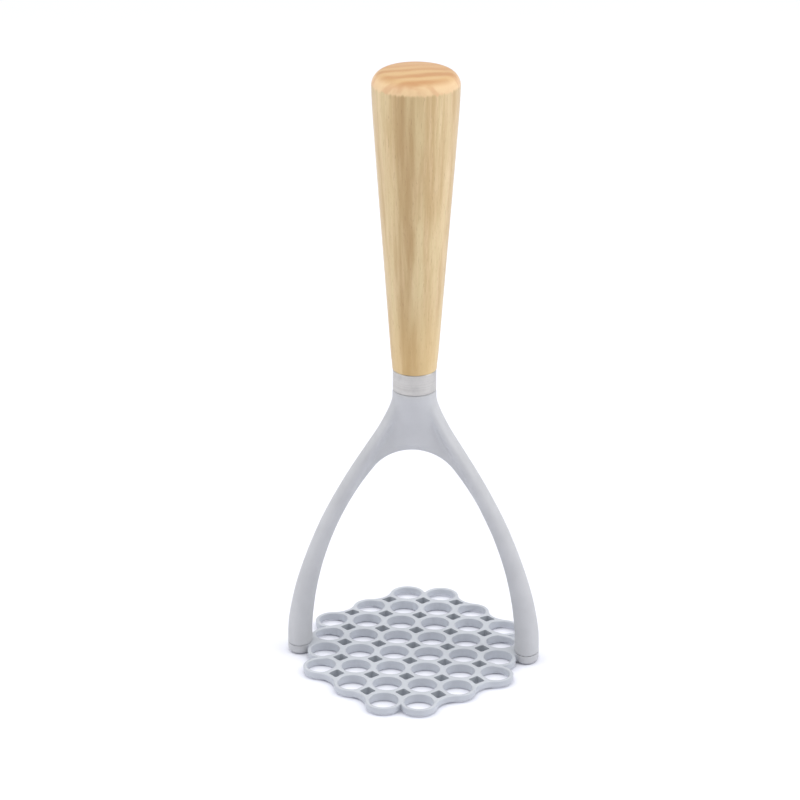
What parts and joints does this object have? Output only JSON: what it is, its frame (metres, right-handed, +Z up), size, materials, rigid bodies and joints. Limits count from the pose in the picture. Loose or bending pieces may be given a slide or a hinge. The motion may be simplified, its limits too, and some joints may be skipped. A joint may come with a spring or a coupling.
{
  "type": "potato masher",
  "caption": "Upright kitchen masher with a turned wooden handle, a satin metal collar, a two-armed moulded nylon yoke and a flat perforated lattice plate.",
  "frame": {"origin": "middle of the mashing plate's underside, on the handle's axis", "axes": "+Z up along the handle, X from one arm to the other, Y along the plate's longer side"},
  "size_m": [0.102, 0.1124, 0.2471],
  "materials": {
    "wood": "fine sanded light hardwood with a thin clear oil",
    "satin_metal": "satin, turned",
    "yoke_nylon": "fine matte moulded texture",
    "plate_nylon": "smooth moulded, slightly glossier than the yoke",
    "steel": "plain stainless",
    "brass": "machined"
  },
  "bodies": {
    "root": {"handle": "wood", "collar": "satin_metal", "yoke": "yoke_nylon", "mashing_plate": "plate_nylon", "tang": "steel", "threaded_insert": "brass", "plate_screw_left": "steel", "plate_screw_right": "steel"}
  },
  "joints": []
}
